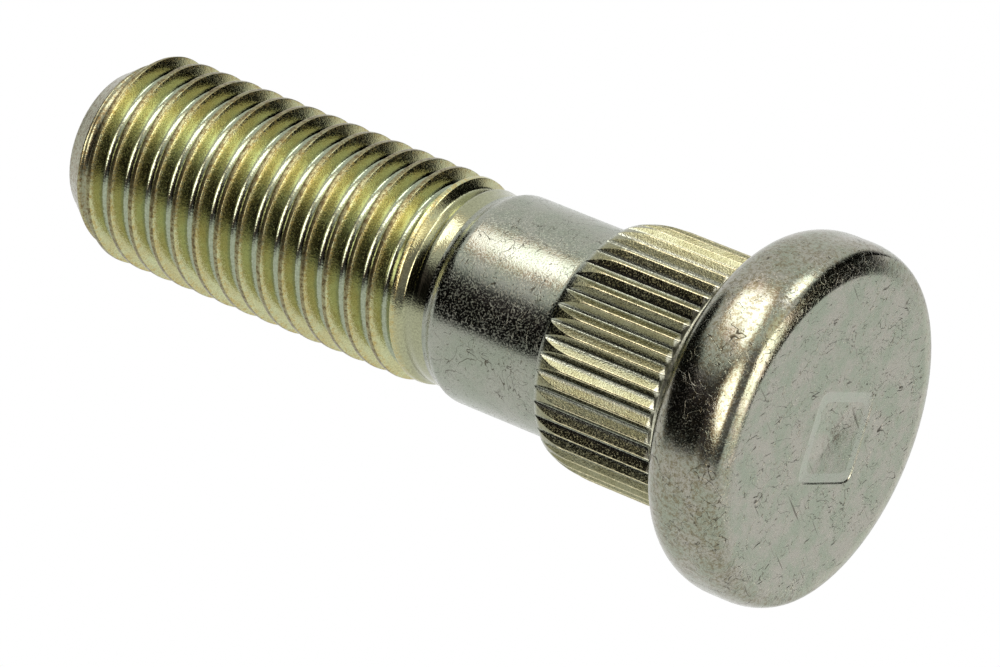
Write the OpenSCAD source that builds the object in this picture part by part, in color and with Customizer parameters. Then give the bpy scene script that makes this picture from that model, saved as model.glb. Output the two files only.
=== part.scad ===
// Press-in wheel stud, M12 x 1.5, one forged, rolled and plated piece.
// It stands on its head: the origin is the middle of the head's outer face,
// and Z runs up the axis, through the serrated collar, the shank and the neck, to the tip of the thread.

/* [Overall] */
// Length from the outer face of the head to the tip
stud_length = 48.05; // [40:0.05:70]

/* [Head] */
// Diameter of the head
head_d = 20.05; // [18.5:0.05:26]
// Height of the head, from its outer face to the seat that pulls up against the hub
head_h = 5.05; // [4.2:0.05:8]
// Diameter of the flat of the outer face
face_d = 17.9; // [15:0.05:18.2]
// Height of the rounding round the outer face
face_round_h = 1.7; // [0.8:0.05:1.9]
// Diameter of the flat seat under the head
seat_d = 16.8; // [15.8:0.05:18]
// Height of the rounding round the seat
seat_round_h = 2.3; // [0.8:0.05:2.3]
// Height of the small cone that strengthens the corner between seat and collar
seat_fillet = 0.9; // [0.4:0.05:1.2]

/* [Forging mark] */
// Length of the plain stamped rectangle in the outer face, along X
mark_x = 5.35; // [3:0.05:7]
// Length of the stamped rectangle along Y
mark_y = 5.05; // [3:0.05:7]
// Depth of the stamped rectangle
mark_depth = 0.15; // [0.05:0.01:0.4]
// Width of its sloping walls
mark_wall = 0.6; // [0.2:0.05:1]
// Cut across each of its corners
mark_corner = 0.5; // [0.2:0.05:1]
// Place of its middle along X
mark_off_x = -0.92; // [-2:0.02:2]
// Place of its middle along Y
mark_off_y = -0.26; // [-2:0.02:2]

/* [Serrated collar] */
// Diameter over the crests of the serrations
collar_d = 14.1; // [13.2:0.05:15]
// Number of serrations round the collar
tooth_count = 46; // [30:1:60]
// Depth of each groove below the crests
tooth_depth = 0.37; // [0.2:0.01:0.45]
// Width of the narrow flat along each crest
tooth_land = 0.12; // [0.06:0.01:0.2]
// Height above the outer face at which the collar ends
collar_top = 14.05; // [10:0.05:16]
// Length of the gentle lead-in taper at the collar's end
lead_length = 1.85; // [1:0.05:4]
// Height of the steep shoulder from the lead-in to the shank
shoulder_h = 0.5; // [0.3:0.05:1]

/* [Shank] */
// Diameter of the plain shank
shank_d = 11.78; // [11.76:0.01:12.6]
// Height above the outer face at which the shank ends
shank_top = 21.52; // [17.5:0.02:23]
// Diameter of the neck, which is the blank that the thread is rolled on
neck_d = 10.94; // [10.7:0.01:11.3]
// Length of the cone from the shank to the neck
neck_cone = 0.85; // [0.3:0.05:1.2]
// Length of the plain neck up to the first trace of the thread
neck_length = 0.55; // [0.5:0.05:3]

/* [Thread] */
// Diameter over the crests of the thread
thread_d = 11.74; // [11.6:0.01:11.75]
// Advance of the right-hand thread in one turn
pitch = 1.5; // [1.25:0.25:1.75]
// Depth of the thread from crest to root
thread_depth = 0.79; // [0.6:0.01:0.9]
// Width of a crest
crest_w = 0.28; // [0.2:0.01:0.34]
// Drop from the middle of a crest to its edges
crest_drop = 0.02; // [0.01:0.01:0.04]
// Width of a root
root_w = 0.4; // [0.3:0.01:0.44]
// Rise from the middle of a root to its edges
root_rise = 0.06; // [0.02:0.01:0.08]
// Length over which the rolled thread grows from nothing to its full depth
run_out = 2.5; // [1.5:0.05:4]
// Length of the chamfer on the tip
tip_chamfer = 2.3; // [1.6:0.05:3]
// Diameter of the flat end of the tip
tip_d = 8.46; // [8:0.02:9]
// Height of a crest above the outer face where it passes the X axis
crest_height = 27.45; // [27:0.01:28.4]

/* [Hidden] */
$fn = 96;
STEEL = [0.72, 0.73, 0.66];

// Steps in each rounding of the head's profile
round_steps = 8;
// How far a form runs on inside its neighbour, so that the two join as one solid
overlap = 0.5;

head_r = head_d / 2;
face_r = face_d / 2;
seat_r = seat_d / 2;
collar_r = collar_d / 2;
shank_r = shank_d / 2;
neck_r = neck_d / 2;
thread_r = thread_d / 2;
tip_r = tip_d / 2;
neck_start = shank_top + neck_cone;
neck_top = neck_start + neck_length;

// A quarter of an ellipse about (r0, z0), from angle a0 to a0 + 90
function quarter(r0, z0, half_r, half_z, a0) =
    [for (k = [0:round_steps]) let (a = a0 + 90 * k / round_steps)
        [r0 + half_r * cos(a), z0 + half_z * sin(a)]];

// Head, shank and neck as one turned profile
function blank_profile() = concat(
    [[0, 0]],
    quarter(face_r, face_round_h, head_r - face_r, face_round_h, -90),
    quarter(seat_r, head_h - seat_round_h, head_r - seat_r, seat_round_h, 0),
    [
        [collar_r + seat_fillet / 2, head_h],
        [collar_r - seat_fillet / 2, head_h + seat_fillet],
        [shank_r, head_h + seat_fillet],
        [shank_r, shank_top],
        [neck_r, neck_start],
        [neck_r, neck_top],
        [0, neck_top]
    ]);

module blank() {
    rotate_extrude() polygon(blank_profile());
}

// One crest with its two edges, then the root of the groove beside it
tooth_angle = 360 / tooth_count;
land_angle = tooth_land / collar_r * 90 / PI;
root_r = collar_r - tooth_depth;
function serration_outline() = [
    for (k = [0:tooth_count - 1], p = [
        [collar_r, -land_angle], [collar_r, land_angle], [root_r, tooth_angle / 2]])
        let (a = k * tooth_angle + p[1]) [p[0] * cos(a), p[0] * sin(a)]];

// The lead-in taper meets the crests lead_length below the collar's end and nearly meets the roots there
root_clear = 0.02;
lead_slope = (tooth_depth - root_clear) / lead_length;
lead_end_r = root_r + root_clear;
lead_run = (collar_r + overlap - lead_end_r) / lead_slope;
shoulder_slope = (lead_end_r - shank_r) / shoulder_h;
function collar_profile() = [
    [0, head_h - overlap],
    [collar_r + overlap, head_h - overlap],
    [collar_r + overlap, collar_top - lead_run],
    [lead_end_r, collar_top],
    [shank_r - overlap, collar_top + shoulder_h + overlap / shoulder_slope],
    [0, collar_top + shoulder_h + overlap / shoulder_slope]
];

// V grooves the whole way up, cut off by the lead-in taper, which leaves each groove a pointed end
module collar() {
    intersection() {
        translate([0, 0, head_h - overlap])
            linear_extrude(collar_top - head_h + 3 * overlap) polygon(serration_outline());
        rotate_extrude() polygon(collar_profile());
    }
}

// The thread's form along one pitch: height above the middle of the crest, and radius
form = [
    [-crest_w / 2, thread_r - crest_drop],
    [0, thread_r],
    [crest_w / 2, thread_r - crest_drop],
    [(pitch - root_w) / 2, thread_r - thread_depth + root_rise],
    [pitch / 2, thread_r - thread_depth],
    [(pitch + root_w) / 2, thread_r - thread_depth + root_rise]
];
rows = len(form);
columns = 36;
// The thread's core starts a little inside the neck
core_r = neck_r - 0.03;
core_start = neck_top - overlap;
chamfer_start = stud_length - tip_chamfer;
chamfer_slope = (thread_r - tip_r) / tip_chamfer;
// Above this height the chamfer has cut away even the roots
roots_end = chamfer_start + (thread_depth + 0.1) / chamfer_slope;
// A row this close to either end of the thread joins that end's ring
snap = 0.04;
first_turn = floor((core_start - crest_height) / pitch) - 1;
turns = ceil((roots_end - core_start) / pitch) + 3;
row_count = turns * rows;

function ramp(z) = min(1, max(0, (z - neck_top) / run_out));
function chamfer_r(z) = thread_r - max(0, z - chamfer_start) * chamfer_slope;
function row_z(i, j) =
    crest_height + (first_turn + floor(i / rows) + j / columns) * pitch + form[i % rows][0];
function row_r(i, z) = min(core_r + ramp(z) * (form[i % rows][1] - core_r), chamfer_r(z));
function on_ring(r, z, j) = [r * cos(360 * j / columns), r * sin(360 * j / columns), z];

// The rings at the start, at the end of the roots and at the tip come first, then the rows of the helix
start_ring = 0;
roots_ring = columns;
tip_ring = 2 * columns;
first_row = 3 * columns;
thread_points = concat(
    [for (j = [0:columns - 1]) on_ring(core_r, core_start, j)],
    [for (j = [0:columns - 1]) on_ring(chamfer_r(roots_end), roots_end, j)],
    [for (j = [0:columns - 1]) on_ring(tip_r, stud_length, j)],
    [for (i = [0:row_count - 1], j = [0:columns - 1])
        let (z = min(roots_end, max(core_start, row_z(i, j)))) on_ring(row_r(i, z), z, j)]);

// One turn on, column 0 carries on as the same row one pitch higher
function at(i, j) = j == columns ? at(i + rows, 0)
    : row_z(i, j) < core_start + snap ? start_ring + j
    : i >= row_count || row_z(i, j) > roots_end - snap ? roots_ring + j
    : first_row + i * columns + j;
function whole(f) = f[0] != f[1] && f[1] != f[2] && f[2] != f[0];
thread_faces = concat(
    [[for (j = [0:columns - 1]) start_ring + j]],
    [[for (j = [columns - 1:-1:0]) tip_ring + j]],
    [for (j = [0:columns - 1]) let (k = (j + 1) % columns)
        [roots_ring + j, tip_ring + j, tip_ring + k, roots_ring + k]],
    [for (i = [0:row_count - 2], j = [0:columns - 1], f = [
        [at(i, j), at(i + 1, j), at(i + 1, j + 1)],
        [at(i, j), at(i + 1, j + 1), at(i, j + 1)]]) if (whole(f)) f]);

module thread() {
    polyhedron(thread_points, thread_faces);
}

// A shallow rectangle with sloping walls and cut corners, open at the outer face
function cut_corner_ring(half_x, half_y, cut, z) = [
    for (p = [[-1, -1], [1, -1], [1, 1], [-1, 1]], first = [true, false])
        let (along_x = (p[0] * p[1] > 0) == first)
            [mark_off_x + p[0] * (half_x - (along_x ? 0 : cut)),
             mark_off_y + p[1] * (half_y - (along_x ? cut : 0)), z]];
module forging_mark() {
    run_on = overlap / mark_depth;
    floor_ring = cut_corner_ring(mark_x / 2 - mark_wall, mark_y / 2 - mark_wall, mark_corner, mark_depth);
    mouth_ring = cut_corner_ring(
        mark_x / 2 + mark_wall * run_on, mark_y / 2 + mark_wall * run_on, mark_corner, -overlap);
    polyhedron(
        concat(mouth_ring, floor_ring),
        concat([[0, 1, 2, 3, 4, 5, 6, 7]], [[15, 14, 13, 12, 11, 10, 9, 8]],
            [for (k = [0:7]) let (n = (k + 1) % 8) [k, 8 + k, 8 + n, n]]));
}

module wheel_stud() {
    color(STEEL) difference() {
        union() {
            blank();
            collar();
            thread();
        }
        forging_mark();
    }
}

wheel_stud();
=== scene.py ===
"""A press-in wheel stud of zinc-plated steel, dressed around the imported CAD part.

The stud is one forged, turned and rolled piece, so it is one closed surface here, made of rings round its axis.
All lengths are in millimetres until a mesh is made. The origin is the middle of the head's outer face, and Z runs
up the axis to the tip of the thread, as in the CAD part.
"""
import math

import bpy
import numpy as np
from mathutils import Euler, Matrix, Vector


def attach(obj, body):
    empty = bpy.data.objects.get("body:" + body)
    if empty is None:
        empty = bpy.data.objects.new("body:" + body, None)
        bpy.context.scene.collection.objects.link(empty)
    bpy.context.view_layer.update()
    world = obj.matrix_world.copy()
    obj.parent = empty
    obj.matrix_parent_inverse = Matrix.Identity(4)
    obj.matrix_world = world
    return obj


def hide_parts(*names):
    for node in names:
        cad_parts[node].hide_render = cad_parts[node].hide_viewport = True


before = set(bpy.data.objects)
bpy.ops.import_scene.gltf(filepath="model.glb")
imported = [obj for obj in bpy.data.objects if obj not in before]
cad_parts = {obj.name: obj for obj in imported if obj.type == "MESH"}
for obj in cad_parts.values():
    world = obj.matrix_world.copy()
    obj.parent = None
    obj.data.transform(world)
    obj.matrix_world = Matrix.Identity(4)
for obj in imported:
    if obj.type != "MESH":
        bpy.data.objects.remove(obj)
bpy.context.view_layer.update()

MM = 0.001
TURN = 2 * math.pi

# Head
HEAD_R, HEAD_H = 10.015, 5.05
# Round the face: how steep the surface is, in degrees, at each distance along it from the edge of the flat. It slopes
# gently up to a crease, where the die closed, and bulges from there to the side
FRONT_AT = (0, 0.15, 0.5, 0.92, 1.25, 1.6, 2.2, 2.63)
FRONT_STEEP = (0, 6, 12, 19.5, 57, 70, 82, 90)
SEAT_R, SEAT_ROUND_H = 8.4, 2.3
# Plain stamped rectangle in the face. Its corners are the sharper, the higher the power
MARK_X, MARK_Y, MARK_DEPTH, MARK_WALL = 5.35, 5.05, 0.15, 0.6
MARK_AT, MARK_POWER = (-0.92, -0.26), 9
# Its depth at the foot of the narrow lip round it and at the foot of its walls. Its floor is a little dished
LIP_W, LIP_DEPTH, WALL_DEPTH = 0.07, 0.03, 0.05
# Serrated collar: V grooves with a rounded root, and a lead-in that ends just above the roots
COLLAR_R, TEETH, TOOTH_DEPTH, TOOTH_LAND, TOOTH_ROUND = 7.05, 46, 0.37, 0.12, 0.035
COLLAR_TOP, LEAD_LENGTH, SHOULDER_H = 14.05, 1.85, 0.5
ROOT_R = COLLAR_R - TOOTH_DEPTH
LEAD_END_R = ROOT_R + 0.02
# Plain foot of the collar, on the seat: its radius, the height at which its bevel meets the roots of the serrations,
# and the size of the corner to the seat
FOOT_R, FOOT_TOP, FOOT_FILLET = 7.12, 6.62, 0.5
# Shank and neck
SHANK_R, SHANK_TOP = 5.89, 21.52
NECK_R, NECK_CONE, NECK_LENGTH = 5.47, 0.85, 0.55
NECK_TOP = SHANK_TOP + NECK_CONE + NECK_LENGTH
# Thread
THREAD_R, PITCH, THREAD_DEPTH = 5.87, 1.5, 0.79
CREST_W, CREST_DROP, ROOT_ROUND, ROOT_W = 0.28, 0.02, 0.65, 0.54
RUN_OUT, CREST_HEIGHT = 2.5, 27.45
LENGTH, TIP_CHAMFER, TIP_R = 48.05, 2.3, 4.23
CHAMFER_SLOPE = (THREAD_R - TIP_R) / TIP_CHAMFER

# Points round every ring but the collar's, which have 22 for each serration
ROUND = 144
# How far corners are rounded: crests into the lead-in, foot into its bevel, grooves into the foot, thread into the tip
SOFT_LEAD, SOFT_BEVEL, SOFT_FOOT, SOFT_TIP = 0.012, 0.04, 0.05, 0.03
# A row of the thread this close to either end joins that end's ring
SNAP = 0.02

# The numbers of the finishes on the stud
HEAD, MARK, COLLAR, SHANK, THREAD = range(5)


def smooth_step(x):
    """0 below 0, 1 above 1, and an S-curve between."""
    t = np.clip(x, 0, 1)
    return t * t * (3 - 2 * t)


def soft_min(a, b, k):
    """The lower of a and b, with the corner between them rounded over a height of about k."""
    h = np.clip(0.5 + 0.5 * (b - a) / k, 0, 1)
    return b + (a - b) * h - k * h * (1 - h)


def revolved(profile):
    """A profile of (r, z) points carried round the axis: x = r cos t, y = r sin t."""
    t = np.arange(ROUND) * TURN / ROUND
    r, z = np.asarray(profile, float).T[:, :, None]
    return np.stack([r * np.cos(t), r * np.sin(t), z + 0 * t], axis=2)


class Skin:
    """Collects grids of points and their triangles, and ends as one mesh with its shared rings welded."""

    def __init__(self):
        self.points, self.faces, self.marks, self.count = [], [], [], 0

    def add(self, points):
        """Adds points and returns their numbers, in the same grid."""
        flat = points.reshape(-1, 3)
        self.points.append(flat)
        self.count += len(flat)
        return np.arange(self.count - len(flat), self.count).reshape(points.shape[:-1])

    def triangles(self, faces, material):
        """Adds triangles, each given as the numbers of its three points."""
        faces = np.asarray(faces).reshape(-1, 3)
        self.faces.append(faces)
        self.marks.append(np.full(len(faces), material))

    def cells(self, low, high, material):
        """Two triangles for each cell between a row and the next, given as the numbers of both rows' points."""
        a, b = low, np.roll(low, -1, axis=-1)
        d, c = high, np.roll(high, -1, axis=-1)
        self.triangles(np.stack([a, b, c, a, c, d], axis=-1), material)

    def rings(self, points, material):
        """A grid of closed rings, from the head's middle up to the tip's, outer side out."""
        n = self.add(points)
        self.cells(n[:-1], n[1:], material)
        return n

    def zip_rings(self, low, low_angle, high, high_angle, material):
        """Joins two rings with different counts, walking round both in the order of their angles: each step from one
        point to the next on its own ring makes a triangle with the point that the walk has reached on the other."""
        reached_high = np.searchsorted(high_angle, low_angle, side="left") - 1
        reached_low = np.searchsorted(low_angle, high_angle, side="right") - 1
        self.triangles(np.stack([np.roll(low, 1), low, high[reached_high]], axis=1), material)
        self.triangles(np.stack([high, np.roll(high, 1), low[reached_low]], axis=1), material)

    def pole(self, ring, centre, inward, material):
        """A fan of triangles from a ring to a point on the axis."""
        middle = self.add(np.array([centre], float))[0]
        a, b = (np.roll(ring, -1), ring) if inward else (ring, np.roll(ring, -1))
        self.triangles(np.stack([a, b, np.full(len(ring), middle)], axis=1), material)

    def mesh(self, name):
        """Welds points that lie within 0.1 micrometres, drops triangles that a weld closed up, and makes the mesh."""
        points = np.concatenate(self.points)
        _, first, number = np.unique(np.round(points / 1e-4).astype(np.int64), axis=0,
                                     return_index=True, return_inverse=True)
        faces = number.reshape(-1)[np.concatenate(self.faces)]
        whole = (faces[:, 0] != faces[:, 1]) & (faces[:, 1] != faces[:, 2]) & (faces[:, 2] != faces[:, 0])
        faces, marks = faces[whole], np.concatenate(self.marks)[whole]
        mesh = bpy.data.meshes.new(name)
        mesh.from_pydata((points[first] * MM).tolist(), [], faces.tolist())
        mesh.polygons.foreach_set("material_index", marks.astype(np.int32))
        mesh.polygons.foreach_set("use_smooth", np.ones(len(faces), bool))
        mesh.update()
        return mesh


def front_profile():
    """Round the face, from its flat to the widest place: the running sums of step cos steep and step sin steep."""
    along = np.linspace(0, FRONT_AT[-1], 42)  # 41 steps of 0.064 mm
    steep = np.radians(np.interp((along[:-1] + along[1:]) / 2, FRONT_AT, FRONT_STEEP))
    steps = along[1] * np.stack([np.cos(steep), np.sin(steep)], axis=1)
    front = np.concatenate([[[0, 0]], np.cumsum(steps, axis=0)])
    return front + [HEAD_R - front[-1, 0], 0]


def face_rings():
    """The outer face, from the stamped rectangle's middle to its own edge. A ring at share s of the way to the
    rectangle's mouth is a rectangle with rounded corners, |x / half x|^n + |y / half y|^n = s^n. Beyond the mouth,
    share s lies between it and the face's circle: (1 - s) mouth + s circle. The depth grows evenly over the lip, the
    wall and the floor, at its own rate on each. Returns the rings, their middle point, and the numbers of the rings
    at the foot of the wall and at the foot of the lip."""
    t = np.arange(ROUND) * TURN / ROUND
    circle = np.stack([np.cos(t), np.sin(t)], axis=1)
    half = np.array([MARK_X, MARK_Y]) / 2
    reach = np.sum(np.abs(circle / half) ** MARK_POWER, axis=1) ** (-1 / MARK_POWER)
    mouth = reach[:, None] * circle
    wall_foot, lip_foot = 1 - MARK_WALL / half[0], 1 - LIP_W / half[0]
    inner = np.concatenate([np.linspace(0.08, wall_foot, 7)[:-1], np.linspace(wall_foot, lip_foot - 0.01, 8),
                            np.linspace(lip_foot, 1, 5), [1.012]])[:, None, None]
    outer = np.concatenate([np.linspace(0, 1, 22)[1:-1] ** 1.1, [0.985, 1]])[:, None, None]
    depth = np.interp(inner, [0, wall_foot, lip_foot, 1], [MARK_DEPTH, WALL_DEPTH, LIP_DEPTH, 0])
    in_mark = inner * mouth + MARK_AT
    round_it = (1 - outer) * (mouth + MARK_AT) + outer * (front_profile()[0, 0] * circle)
    rings = np.concatenate([np.append(in_mark, np.broadcast_to(depth, (len(inner), ROUND, 1)), axis=2),
                            np.append(round_it, np.zeros((len(outer), ROUND, 1)), axis=2)])
    feet = np.searchsorted(inner[:, 0, 0], [wall_foot - 0.001, lip_foot - 0.001])
    return rings, (*MARK_AT, MARK_DEPTH), feet


def rim_profile():
    """From the face's flat round the head to its seat. The rounding behind is a quarter of an ellipse:
    r = seat r + reach cos a, z = foot of the rounding + height sin a."""
    front = front_profile()
    a = np.radians(np.linspace(0, 90, 17))
    back = np.stack([SEAT_R + (HEAD_R - SEAT_R) * np.cos(a), HEAD_H - SEAT_ROUND_H + SEAT_ROUND_H * np.sin(a)], axis=1)
    side = np.linspace(front[-1], back[0], 5)[1:-1]
    seat = [[8.2, HEAD_H], [7.75, HEAD_H]]
    return np.concatenate([front, side, back, seat])


def collar_rings():
    """The serrated collar. Across one serration, h = slope (sqrt(u^2 + round^2) - round) is the height above the
    groove's root at a distance u from it, cut off at the crest, and by the lead-in, which falls by 0.35 s + 0.65 s^2.6
    of its depth at share s of its length. The columns slide so that one of them always follows the edge where the
    groove meets what cuts it, which leaves each groove its pointed end. At the other end the grooves run out on the
    bevel of the plain foot, which rises towards the seat at 45 degrees, and a curve of r = (1 - s)^2 joins the foot to
    the seat. Returns the rings and the angles of the points of the first and the last."""
    # Places of the columns across one serration, from crest to crest: close together at the crest's edge and the root
    half = np.array([0, .045, .054, .06, .068, .09, .25, .42, .455, .475, .49, .5])
    base = np.concatenate([half, 1 - half[-2:0:-1]])
    land = half[3]
    spacing = TURN * COLLAR_R / TEETH
    slope = TOOTH_DEPTH / (spacing / 2 - TOOTH_LAND / 2)
    # Heights of the rings: up the foot and its bevel, along the plain stretch, and along the lead-in
    z = np.concatenate([
        [HEAD_H, 5.12, 5.25, 5.45, 6.14, 6.2, 6.27, 6.35, 6.43, 6.51, 6.59, 6.66],
        [8.5, COLLAR_TOP - LEAD_LENGTH - 0.2],
        COLLAR_TOP - LEAD_LENGTH * np.array([1, .9, .78, .66, .54, .42, .32, .22, .14, .07, .03, 0])])
    lead = np.clip((z - COLLAR_TOP + LEAD_LENGTH) / LEAD_LENGTH, 0, 1)
    envelope = COLLAR_R - (COLLAR_R - LEAD_END_R) * (0.35 * lead + 0.65 * lead ** 2.6)
    edge_u = np.sqrt(((envelope - ROOT_R) / slope + TOOTH_ROUND) ** 2 - TOOTH_ROUND ** 2)
    flat = np.clip(0.5 - edge_u / spacing, land, 0.5)[:, None]
    side = np.minimum(base, 1 - base)
    slid = np.where(side <= land, side / land * flat, flat + (side - land) / (0.5 - land) * (0.5 - flat))
    across = np.where(base <= 0.5, slid, 1 - slid)
    u = np.abs(across - 0.5) * spacing
    height = slope * (np.sqrt(u * u + TOOTH_ROUND ** 2) - TOOTH_ROUND)
    r = soft_min(ROOT_R + height, np.broadcast_to(envelope[:, None], height.shape), SOFT_LEAD)
    foot = FOOT_R + FOOT_FILLET * np.clip(1 - (z - HEAD_H) / FOOT_FILLET, 0, 1) ** 2
    foot = np.where(z < FOOT_TOP, soft_min(foot, ROOT_R + FOOT_TOP - z, SOFT_BEVEL), 0)[:, None]
    r = -soft_min(-r, -np.broadcast_to(foot, r.shape), SOFT_FOOT)
    r[0] = foot[0]
    angle = (np.arange(TEETH)[None, :, None] + across[:, None, :]).reshape(len(z), -1) * TURN / TEETH
    r = np.tile(r, TEETH)
    points = np.stack([r * np.cos(angle), r * np.sin(angle), np.broadcast_to(z[:, None], r.shape)], axis=2)
    return points, angle[0], angle[-1]


def shank_profile():
    """From the shoulder's middle: a rounded foot, the plain shank, its rounded end, the cone and the neck."""
    foot = COLLAR_TOP + SHOULDER_H
    middle_r = (LEAD_END_R + SHANK_R) / 2
    cone_end = SHANK_TOP + NECK_CONE
    return np.array([
        [middle_r, COLLAR_TOP + SHOULDER_H / 2], [SHANK_R + .2, foot - .13], [SHANK_R + .1, foot - .05],
        [SHANK_R + .035, foot + .02], [SHANK_R + .005, foot + .12], [SHANK_R, foot + .3], [SHANK_R, 18],
        [SHANK_R, SHANK_TOP - .25], [SHANK_R - .012, SHANK_TOP - .08], [SHANK_R - .05, SHANK_TOP + .1],
        [SHANK_R - .13, SHANK_TOP + .27], [(SHANK_R + NECK_R) / 2, (SHANK_TOP + cone_end) / 2],
        [NECK_R + .09, cone_end - .22], [NECK_R + .03, cone_end - .06], [NECK_R, cone_end + .12]])


def thread_radius(z, w):
    """Radius of the rolled thread at height z, w away from the middle of its nearest crest. The crest falls away as a
    square, drop (w / half its width)^2, the flanks are straight and the root is an arc of a circle. Over the run-out
    the form grows out of the neck as an S-curve to the power 0.8, and the tip's chamfer cuts it."""
    w = np.abs(w)
    off_root = np.minimum(PITCH / 2 - w, ROOT_W / 2)
    root = THREAD_DEPTH - ROOT_ROUND + np.sqrt(ROOT_ROUND ** 2 - off_root ** 2)
    root_edge = THREAD_DEPTH - ROOT_ROUND + math.sqrt(ROOT_ROUND ** 2 - ROOT_W ** 2 / 4)
    flank = CREST_DROP + (w - CREST_W / 2) * (root_edge - CREST_DROP) / ((PITCH - ROOT_W - CREST_W) / 2)
    crest = CREST_DROP * (w / (CREST_W / 2)) ** 2
    drop = np.where(w < CREST_W / 2, crest, np.where(w < (PITCH - ROOT_W) / 2, flank, root))
    ramp = smooth_step((z - NECK_TOP) / RUN_OUT * 0.9) ** 0.8
    chamfer = THREAD_R - np.maximum(0, z - LENGTH + TIP_CHAMFER) * CHAMFER_SLOPE
    return soft_min(NECK_R + ramp * (THREAD_R - drop - NECK_R), chamfer, SOFT_TIP)


def thread_rings(skin):
    """The thread as one strip of rows that climb a pitch in each turn: row i at angle t lies at
    crest height + pitch (turn + t / 2 pi) + its place across the form. Past either end, rows gather on that end's
    ring. Returns the height and the radius of the upper end."""
    # Places of the rows across one pitch, from crest to crest: close together at the crest's edge and in the root
    half = np.array([0, .1, .132, .155, .25, .4, .475, .515, .57, .65, .75])
    form = np.concatenate([half, PITCH - half[-2:0:-1]])
    start = SHANK_TOP + NECK_CONE + 0.12
    end = LENGTH - TIP_CHAMFER + (THREAD_DEPTH + 0.12) / CHAMFER_SLOPE
    first = math.floor((start - CREST_HEIGHT) / PITCH) - 2
    turns = math.ceil((end - start) / PITCH) + 4
    base = (np.arange(first, first + turns)[:, None] * PITCH + form).reshape(-1)
    t = np.arange(ROUND) / ROUND
    z = CREST_HEIGHT + base[:, None] + t * PITCH
    w = np.tile(np.where(form < PITCH / 2, form, form - PITCH), turns)[:, None]
    z = np.where(z < start + SNAP, start, np.where(z > end - SNAP, end, z))
    r = thread_radius(z, w + 0 * z)
    r = np.where(z <= start, NECK_R, r)
    r = np.where(z >= end, thread_radius(np.array(end), np.array(PITCH / 2)), r)
    points = np.stack([r * np.cos(t * TURN), r * np.sin(t * TURN), z], axis=2)
    n = skin.add(points)
    # The last column joins the first column one pitch further up
    beyond = np.minimum(np.arange(len(base)) + len(form), len(base) - 1)
    wrapped = np.concatenate([n, n[beyond, :1]], axis=1)
    a, b = wrapped[:-1, :-1], wrapped[:-1, 1:]
    d, c = wrapped[1:, :-1], wrapped[1:, 1:]
    skin.triangles(np.stack([a, b, c, a, c, d], axis=-1), THREAD)
    return end, r[-1, 0]


def tip_profile(z_from, r_from):
    """The rest of the tip's chamfer, its rounded edge and the flat end."""
    return np.array([
        [r_from, z_from], [TIP_R + CHAMFER_SLOPE * .5, LENGTH - .5], [TIP_R + CHAMFER_SLOPE * .18, LENGTH - .18],
        [TIP_R + .06, LENGTH - .06], [TIP_R - .03, LENGTH - .012], [TIP_R - .15, LENGTH],
        [3, LENGTH], [1.5, LENGTH]])


def wheel_stud():
    """Joins the face, the head, the collar, the shank, the thread and the tip into one closed surface."""
    skin = Skin()
    face, face_middle, (foot, lip) = face_rings()
    n = skin.add(face)
    for first, last, material in ((0, foot, HEAD), (foot, lip, MARK), (lip, len(n) - 1, HEAD)):
        skin.cells(n[first:last], n[first + 1:last + 1], material)
    skin.pole(n[0], face_middle, True, HEAD)
    plain = np.arange(ROUND) * TURN / ROUND
    rim = skin.rings(revolved(rim_profile()), HEAD)
    collar, low_angle, high_angle = collar_rings()
    c = skin.rings(collar, COLLAR)
    skin.zip_rings(rim[-1], plain, c[0], low_angle, HEAD)
    shank = skin.rings(revolved(shank_profile()), SHANK)
    skin.zip_rings(c[-1], high_angle, shank[0], plain, COLLAR)
    tip = skin.rings(revolved(tip_profile(*thread_rings(skin))), THREAD)
    skin.pole(tip[-1], (0, 0, LENGTH), False, THREAD)
    return skin.mesh("press_in_wheel_stud")


def linear(hexa):
    """An sRGB hex colour as linear RGBA."""
    s = np.array([int(hexa[k:k + 2], 16) for k in (1, 3, 5)]) / 255
    rgb = np.where(s <= 0.04045, s / 12.92, ((s + 0.055) / 1.055) ** 2.4)
    return (*rgb.tolist(), 1.0)


def add(tree, kind, links=(), **settings):
    """Adds a node. links are (input, source socket). settings set its properties, or else its inputs: From_Min is the
    input From Min, and _1 input number 1. A Mix node's inputs share their names, so they go by number: 2 and 3 are
    its two numbers, 6 and 7 its two colours."""
    node = tree.nodes.new(kind)
    for key, value in settings.items():
        if hasattr(node, key):
            setattr(node, key, value)
        else:
            node.inputs[int(key[1:]) if key[1:].isdigit() else key.replace("_", " ")].default_value = value
    for name, source in links:
        tree.links.new(source, node.inputs[name])
    return node


# A Map Range node with this is a soft step: 0 up to From Min, 1 from From Max, and an S-curve between
STEP = {"interpolation_type": "SMOOTHSTEP"}
WHITE = (1, 1, 1, 1)

# Curled scratches: curls in a mm, width of a line in the noise's own units, and where the noise starts
CURLED = ((0.5, 0.006, (3, 1, 7)), (0.8, 0.007, (11, 5, 2)), (1.2, 0.01, (4, 9, 6)))
# Straight scratches: the turn of each set in radians
STRAIGHT = (0.5, 1.4, 2.5)
# Depth in mm of a scratch of strength 1, and the dirt in it
SCRATCH_DEPTH, DIRT = 0.008, "#454034"


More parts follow.
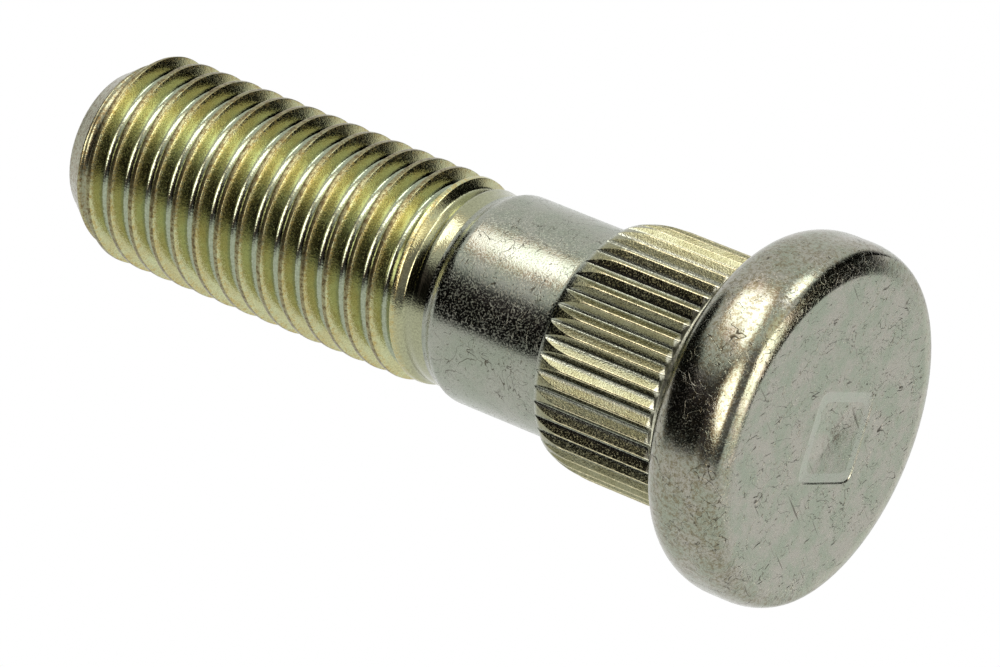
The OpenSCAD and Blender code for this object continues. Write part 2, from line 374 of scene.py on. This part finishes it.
def zinc_plated_steel(name, tone, thick, stain, stained_share, grain, scratch, roughness, fleck_rough, glint_lightness,
                      zones=()):
    """Steel with a bright zinc coat and a thin yellow-green passivation: a metal, clear where it is thin and golden
    where it is thick, dulled by handling.

    tone, thick and stain are the coat's colours where it is clean, thick and browned, and stained_share how strongly
    the brown covers; grain is the height in mm of the plated grain, scratch the strength of the marks of handling,
    fleck_rough how much duller the grain's tops are, and contrast how much lighter. zones are places that differ:
    (middle, scale, where it begins, where it is whole, colour, share that is patchy, roughness). Both places are
    distances from the middle in mm, each part of them times the scale."""
    material = bpy.data.materials.new(name)
    material.use_nodes = True
    tree = material.node_tree
    shader = tree.nodes["Principled BSDF"]
    shader.inputs["Metallic"].default_value = 1.0
    # Patterns are laid out in millimetres
    place = add(tree, "ShaderNodeMapping", [("Vector", add(tree, "ShaderNodeTexCoord").outputs["Object"])],
                Scale=(1000, 1000, 1000)).outputs[0]

    # Clouds of 2 mm and less, where the coat is thicker
    cloud = add(tree, "ShaderNodeTexNoise", [("Vector", place)], Scale=0.5, Detail=6.0, Roughness=0.7).outputs["Fac"]
    clouded = add(tree, "ShaderNodeMapRange", [("Value", cloud)], **STEP, From_Min=0.38, From_Max=0.62).outputs[0]
    # Stains of 0.2 mm and less, where the coat has browned
    spots = add(tree, "ShaderNodeTexNoise", [("Vector", place)], Scale=4.5, Detail=5.0, Roughness=0.8).outputs["Fac"]
    stained = add(tree, "ShaderNodeMapRange", [("Value", spots)], **STEP, From_Min=0.56, From_Max=0.7).outputs[0]
    patchy = add(tree, "ShaderNodeMapRange", [("Value", spots)], **STEP, From_Min=0.46, From_Max=0.6).outputs[0]
    # Grains 0.1 mm wide, drawn about twice as coarse as the real ones so that they show
    fleck = add(tree, "ShaderNodeTexNoise", [("Vector", place)], Scale=10.0, Detail=2.0, Roughness=0.6).outputs["Fac"]
    flecked = add(tree, "ShaderNodeMapRange", [("Value", fleck)], **STEP, From_Min=0.48, From_Max=0.64).outputs[0]

    # Scratches. Curled ones follow each place where a slow noise crosses its middle, broken up by another noise.
    # Straight ones are the peaks of a noise that is drawn out to 3 mm along one way and 0.17 mm across it. Both are
    # drawn wider than real scratches, which are too fine to show
    strokes = []
    for scale, width, start in CURLED:
        moved = add(tree, "ShaderNodeMapping", [("Vector", place)], Location=start).outputs[0]
        path = add(tree, "ShaderNodeTexNoise", [("Vector", moved)], Scale=scale, Detail=3.0, Roughness=0.4,
                   Distortion=0.6).outputs["Fac"]
        gap = add(tree, "ShaderNodeTexNoise", [("Vector", moved)], Scale=0.45, Detail=3.0).outputs["Fac"]
        off = add(tree, "ShaderNodeMath", [(0, path)], operation="SUBTRACT", _1=0.5).outputs[0]
        off = add(tree, "ShaderNodeMath", [(0, off)], operation="ABSOLUTE").outputs[0]
        on_line = add(tree, "ShaderNodeMapRange", [("Value", off)], **STEP, From_Max=width, To_Min=1.0, To_Max=0.0)
        unbroken = add(tree, "ShaderNodeMapRange", [("Value", gap)], **STEP, From_Min=0.48, From_Max=0.6)
        strokes.append(add(tree, "ShaderNodeMath", [(0, on_line.outputs[0]), (1, unbroken.outputs[0])],
                           operation="MULTIPLY").outputs[0])
    for turn in STRAIGHT:
        turned = add(tree, "ShaderNodeMapping", [("Vector", place)], Rotation=(0.3, 0.2, turn)).outputs[0]
        comb = add(tree, "ShaderNodeMapping", [("Vector", turned)], Scale=(0.3, 6, 6)).outputs[0]
        peak = add(tree, "ShaderNodeTexNoise", [("Vector", comb)], Scale=1.0, Detail=1.0, Distortion=0.3).outputs["Fac"]
        strokes.append(add(tree, "ShaderNodeMapRange", [("Value", peak)], **STEP, From_Min=0.71, From_Max=0.79,
                           To_Max=0.7).outputs[0])
    lines = strokes[0]
    for stroke in strokes[1:]:
        lines = add(tree, "ShaderNodeMath", [(0, lines), (1, stroke)], operation="MAXIMUM").outputs[0]

    # The coat's colour and how dull it is
    colour = add(tree, "ShaderNodeMix", [("Factor", clouded)], data_type="RGBA", _6=linear(tone),
                 _7=linear(thick)).outputs[2]
    stains = add(tree, "ShaderNodeMath", [(0, stained)], operation="MULTIPLY", _1=stained_share).outputs[0]
    colour = add(tree, "ShaderNodeMix", [("Factor", stains), (6, colour)], data_type="RGBA",
                 _7=linear(stain)).outputs[2]
    dull = add(tree, "ShaderNodeMath", [(0, flecked)], operation="MULTIPLY_ADD", _1=fleck_rough,
               _2=roughness).outputs[0]
    for middle, scale, outside, within, shade, share, rough in zones:
        away = add(tree, "ShaderNodeVectorMath", [(0, place)], operation="SUBTRACT", _1=middle).outputs[0]
        away = add(tree, "ShaderNodeVectorMath", [(0, away)], operation="MULTIPLY", _1=scale).outputs[0]
        away = add(tree, "ShaderNodeVectorMath", [(0, away)], operation="LENGTH").outputs["Value"]
        inside = add(tree, "ShaderNodeMapRange", [("Value", away)], **STEP, From_Min=outside, From_Max=within)
        covered = add(tree, "ShaderNodeMath", [(0, patchy)], operation="MULTIPLY_ADD", _1=share, _2=1 - share)
        inside = add(tree, "ShaderNodeMath", [(0, inside.outputs[0]), (1, covered.outputs[0])],
                     operation="MULTIPLY").outputs[0]
        colour = add(tree, "ShaderNodeMix", [("Factor", inside), (6, colour)], data_type="RGBA",
                     _7=linear(shade)).outputs[2]
        dull = add(tree, "ShaderNodeMix", [("Factor", inside), (2, dull)], _3=rough).outputs[0]
    # The grain's tops are painted lighter, a painted glint, and dirt sits in the scratches
    painted_glint = add(tree, "ShaderNodeMath", [(0, fleck)], operation="MULTIPLY_ADD", _1=2 * glint_lightness, _2=1 - glint_lightness)
    colour = add(tree, "ShaderNodeVectorMath", [(0, colour), ("Scale", painted_glint.outputs[0])], operation="SCALE")
    worn = add(tree, "ShaderNodeMath", [(0, lines)], operation="MULTIPLY", _1=scratch)
    marked = add(tree, "ShaderNodeMix", [("Factor", worn.outputs[0]), (6, colour.outputs[0])], data_type="RGBA",
                 _7=linear(DIRT))
    tree.links.new(marked.outputs[2], shader.inputs["Base Color"])
    tree.links.new(dull, shader.inputs["Roughness"])

    # Height in mm: the grain stands up, the scratches are cut in
    raised = add(tree, "ShaderNodeMath", [(0, fleck)], operation="MULTIPLY", _1=grain)
    height = add(tree, "ShaderNodeMath", [(0, lines), (2, raised.outputs[0])], operation="MULTIPLY_ADD",
                 _1=-SCRATCH_DEPTH * scratch)
    bump = add(tree, "ShaderNodeBump", [("Height", height.outputs[0])], Distance=MM)
    tree.links.new(bump.outputs[0], shader.inputs["Normal"])
    return material


stud = bpy.data.objects.new("press_in_wheel_stud", wheel_stud())
bpy.context.scene.collection.objects.link(stud)
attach(stud, "root")
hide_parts("wheel_stud")

# Middles and scales of the zones: with ROUND_AXIS the distance is taken across the axis, with ALONG_AXIS along it
AXIS, ROUND_AXIS, ALONG_AXIS = (0, 0, 0), (1, 1, 0), (0, 0, 1)
FINISHES = (
    # Steel forged cold between smooth dies, then plated with its batch in a turning barrel. It shows the studio as soft
    # shapes under fine scratches from the other studs. The coat has browned round the side, and it is darker and
    # browner in the mark's middle
    {"name": "zinc_plated_forged_head", "tone": "#979f8e", "thick": "#a7a59a", "stain": "#766c50",
     "stained_share": 0.75, "grain": 0.004, "scratch": 1.0, "roughness": 0.11, "fleck_rough": 0.22, "glint_lightness": 0.4,
     "zones": [
         (AXIS, ROUND_AXIS, 8.2, 9.9, "#7c7660", 0.8, 0.2),
         ((*MARK_AT, 0), ROUND_AXIS, 1.4, 0.2, "#605c4e", 0.95, 0.3)]},
    # The same steel, pressed flat by a punch. It lies below the face, out of reach of the other studs, so it is more
    # even, with hardly a scratch. Its paler tone is a painted sheen, standing in for the light that the walls catch
    {"name": "zinc_plated_pressed_mark_painted_sheen", "tone": "#a5ac9d", "thick": "#aaaba0", "stain": "#85806a",
     "stained_share": 0.3, "grain": 0.003, "scratch": 0.4, "roughness": 0.14, "fleck_rough": 0.15, "glint_lightness": 0.2},
    # Serrations rolled into the collar, which leaves the steel rough. The coat grows thick and brown on it, as a coarse
    # speckle. The roots are cleaner. The crests are painted light, partly rubbed bright and golden and partly a painted
    # highlight. The plain foot is painted near white, a painted highlight for the bright ring at the seat
    {"name": "zinc_plated_rolled_serrations", "tone": "#909074", "thick": "#868464", "stain": "#544a30",
     "stained_share": 0.9, "grain": 0.016, "scratch": 0.2, "roughness": 0.17, "fleck_rough": 0.25, "glint_lightness": 0.9,
     "zones": [
         (AXIS, ROUND_AXIS, 6.82, 6.72, "#a2a698", 0.2, 0.13),
         # Crests painted light: partly rubbed bright, partly a painted highlight along each crest
         (AXIS, ROUND_AXIS, 7.0, 7.04, "#e4dab0", 0.6, 0.2),
         # The plain foot painted near white: a painted highlight for the bright ring where it meets the seat
         ((0, 0, HEAD_H), ALONG_AXIS, 1.65, 1.5, "#e8e8d0", 0.2, 0.3)]},
    # Turned steel, smooth and even. It shows the studio's walls black and its lamps bright, with a frost of grain along
    # the edge of each, and is scratched as the head is
    {"name": "zinc_plated_turned_shank", "tone": "#929889", "thick": "#9b9d91", "stain": "#85806a",
     "stained_share": 0.5, "grain": 0.006, "scratch": 1.0, "roughness": 0.12, "fleck_rough": 0.3, "glint_lightness": 0.5},
    # Thread rolled between dies, which burnish it, so the passivation shows its yellow-green clearly. The roots and the
    # neck are the cleanest, the flanks are golden and duller, and the tip is brown and dull. Along the crests' middle
    # runs
    # a dark brown line: partly the rolling seam's own brown, partly painted shade of the seam's groove, which the mesh
    # lacks
    {"name": "zinc_plated_rolled_thread", "tone": "#bcc096", "thick": "#b8b486", "stain": "#8a7c4c",
     "stained_share": 0.5, "grain": 0.01, "scratch": 0.0, "roughness": 0.15, "fleck_rough": 0.14, "glint_lightness": 0.5,
     "zones": [
         (AXIS, ROUND_AXIS, 5.34, 5.2, "#979f88", 0.0, 0.08),
         ((0, 0, SHANK_TOP), ALONG_AXIS, 3.4, 2.0, "#9b9d80", 0.0, 0.14),
         (AXIS, ROUND_AXIS, 5.5, 5.82, "#b4a266", 0.95, 0.34),
         # Dark brown line along the crests: the seam's own brown and painted shade of its groove
         (AXIS, ROUND_AXIS, 5.83, 5.862, "#564a32", 0.4, 0.35),
         ((0, 0, LENGTH), ALONG_AXIS, 2.5, 1.7, "#7a6a48", 0.6, 0.34)]},
)
for finish in FINISHES:
    stud.data.materials.append(zinc_plated_steel(**finish))

# The camera stands below the head, where the photograph was taken from: its place, and its three turns in degrees
CAMERA_AT, CAMERA_TURNS = (323.49, 64.35, -181.61), (148.281, 52.071, 153.457)
SEEN = Euler([math.radians(turn) for turn in CAMERA_TURNS]).to_matrix()
camera = bpy.data.objects.new("camera", bpy.data.cameras.new("camera"))
camera.data.lens, camera.data.sensor_width = 262.36, 36.0
camera.data.clip_start, camera.data.clip_end = 0.01, 10
camera.matrix_world = Matrix.Translation(MM * Vector(CAMERA_AT)) @ SEEN.to_4x4()
bpy.context.scene.collection.objects.link(camera)
bpy.context.scene.camera = camera


def patch_turn(x, y, z, turn):
    """The direction (x, y, z) in the photograph's frame, which is right, up, and to the camera, and the turn that puts
    a patch's own Z towards it."""
    towards = Vector((x, y, z)).normalized()
    across = Vector((0, 1, 0)).cross(towards).normalized()
    facing = Matrix((across, towards.cross(across), towards)).transposed()
    return SEEN @ towards, SEEN @ facing @ Matrix.Rotation(math.radians(turn), 3, "Z")


# What stands round the stud, as the photograph's reflections show it: (what, where, turn in degrees, half width, half
# height, softness of the edge, brightness, colour). Lengths are sines of angles as the stud sees them, and each patch
# covers the ones before it
STUDIO = [
    ("black wall on the left", (-0.95, 0.26, 0.06), -22, 0.6, 0.5, 0.3, 0.02, "#50504c"),
    ("black wall behind, on the left", (-0.77, 0.52, -0.4), 0, 0.34, 0.38, 0.2, 0.02, "#50504c"),
    ("pale floor behind, on the left", (-0.6, -0.2, -0.78), 0, 0.66, 0.56, 0.15, 1.0, "#ffffff"),
    ("pale wall behind", (0.62, -0.25, -0.74), 0, 0.25, 0.25, 0.5, 1.2, "#f4f4f0"),
    ("black wall on the right", (0.91, 0.36, -0.1), 0, 0.46, 0.6, 0.2, 0.02, "#50504c"),
    ("black wall behind, on the right", (0.68, 0.56, -0.48), -30, 0.44, 0.22, 0.25, 0.02, "#50504c"),
    ("foot of the black wall on the right", (0.955, -0.1, -0.275), 0, 0.26, 0.32, 0.2, 0.02, "#50504c"),
    ("grey room round the camera", (-0.1, -0.04, 1.0), 0, 1.05, 0.58, 0.2, 0.42, "#dcd8dc"),
    ("grey room on the camera's right", (0.6, -0.3, 0.74), 0, 0.5, 0.3, 0.4, 0.42, "#dcd8dc"),
    ("dark corner round the window", (-0.66, 0.0, 0.75), 0, 0.5, 0.6, 0.3, 0.1, "#dcc8d4"),
    ("foot of the black wall on the left", (-0.93, -0.02, 0.33), -10, 0.27, 0.32, 0.3, 0.02, "#50504c"),
    ("dark edge of the floor", (0.1, -0.57, 0.81), -4, 1.02, 0.18, 0.6, 0.12, "#d0ccdc"),
    ("far end of the card", (0.55, 0.4, 0.74), -50, 0.6, 0.24, 0.5, 1.7, "#f4e8d0"),
    ("amber edge of the card", (0.937, -0.16, 0.335), -29, 0.63, 0.2, 0.2, 1.0, "#e0a868"),
    ("white card on the right", (0.937, -0.16, 0.335), -29, 0.6, 0.16, 0.3, 4.6, "#fffaf0"),
    ("small window above", (0.373, 0.877, 0.3), 0, 0.24, 0.3, 0.4, 5.0, "#ffffff"),
    ("amber edge of the soft box", (-0.33, 0.861, 0.39), 36, 0.33, 0.5, 0.2, 1.2, "#e0a868"),
    ("soft box above, on the left", (-0.33, 0.861, 0.39), 36, 0.27, 0.46, 0.4, 4.6, "#ffffff"),
    ("amber edge of the window", (-0.38, 0.07, 0.92), 0, 0.35, 0.47, 0.2, 1.2, "#e0a868"),
    ("window beside the camera", (-0.38, 0.07, 0.92), 0, 0.29, 0.41, 0.3, 5.0, "#fffaf4"),
]
# How deep the ball of each patch is, so that it reaches past the round of directions on either side
PATCH_DEPTH = 1.2

# The world is white at strength 1 for every ray, so the metal shows the same background as the camera sees. Over that
# white stand the studio's patches, each where a ray's direction falls inside its flattened ball, for all but the rays
# that come straight from the camera. Those see the white alone, which is the photograph's background
world = bpy.data.worlds.new("studio")
bpy.context.scene.world = world
world.use_nodes = True
tree = world.node_tree
tree.nodes.clear()
way = add(tree, "ShaderNodeTexCoord").outputs["Generated"]
behind = []
for name, where, turn, half_x, half_y, soft, strength, colour in STUDIO:
    towards, turned = patch_turn(*where, turn)
    placed = add(tree, "ShaderNodeMapping", [("Vector", way)], vector_type="TEXTURE", label=name, Location=towards,
                 Rotation=turned.to_euler(), Scale=(half_x, half_y, PATCH_DEPTH))
    ball = add(tree, "ShaderNodeTexGradient", [("Vector", placed.outputs[0])], gradient_type="SPHERICAL")
    share = add(tree, "ShaderNodeMapRange", [("Value", ball.outputs["Fac"])], **STEP, From_Max=soft)
    shine = (*(strength * part for part in linear(colour)[:3]), 1)
    painted = add(tree, "ShaderNodeMix", [("Factor", share.outputs[0]), *behind], data_type="RGBA", _6=WHITE, _7=shine)
    behind = [(6, painted.outputs[2])]
from_camera = add(tree, "ShaderNodeLightPath").outputs["Is Camera Ray"]
shown = add(tree, "ShaderNodeMix", [("Factor", from_camera), *behind], data_type="RGBA", _7=WHITE)
studio = add(tree, "ShaderNodeBackground", [("Color", shown.outputs[2])])
add(tree, "ShaderNodeOutputWorld", [("Surface", studio.outputs[0])])

# The floor lies just under the head's outer face, in metres. It takes the stud's shadow but throws none on the stud and
# doesn't show in it. The camera looks at it from below, so its underside lets the view through
SIDE, LEVEL = 1.5, -0.0001
ground = bpy.data.meshes.new("floor")
ground.from_pydata([(-SIDE, -SIDE, LEVEL), (SIDE, -SIDE, LEVEL), (SIDE, SIDE, LEVEL), (-SIDE, SIDE, LEVEL)],
                   [], [(0, 1, 2, 3)])
floor = bpy.data.objects.new("floor", ground)
bpy.context.scene.collection.objects.link(floor)
floor.visible_glossy = floor.visible_diffuse = floor.visible_shadow = floor.visible_transmission = False
# Matt pale paint, which shows nothing but its own colour and the shadow
paint = bpy.data.materials.new("matt_pale_paint")
paint.use_nodes = True
tree = paint.node_tree
tree.nodes.clear()
matt = add(tree, "ShaderNodeBsdfDiffuse", Color=linear("#f4f4f2"))
clear = add(tree, "ShaderNodeBsdfTransparent")
facing = add(tree, "ShaderNodeMixShader", [
    ("Fac", add(tree, "ShaderNodeNewGeometry").outputs["Backfacing"]), (1, matt.outputs[0]), (2, clear.outputs[0])])
add(tree, "ShaderNodeOutputMaterial", [("Surface", facing.outputs[0])])
ground.materials.append(paint)

bpy.context.scene.view_settings.view_transform = "Standard"
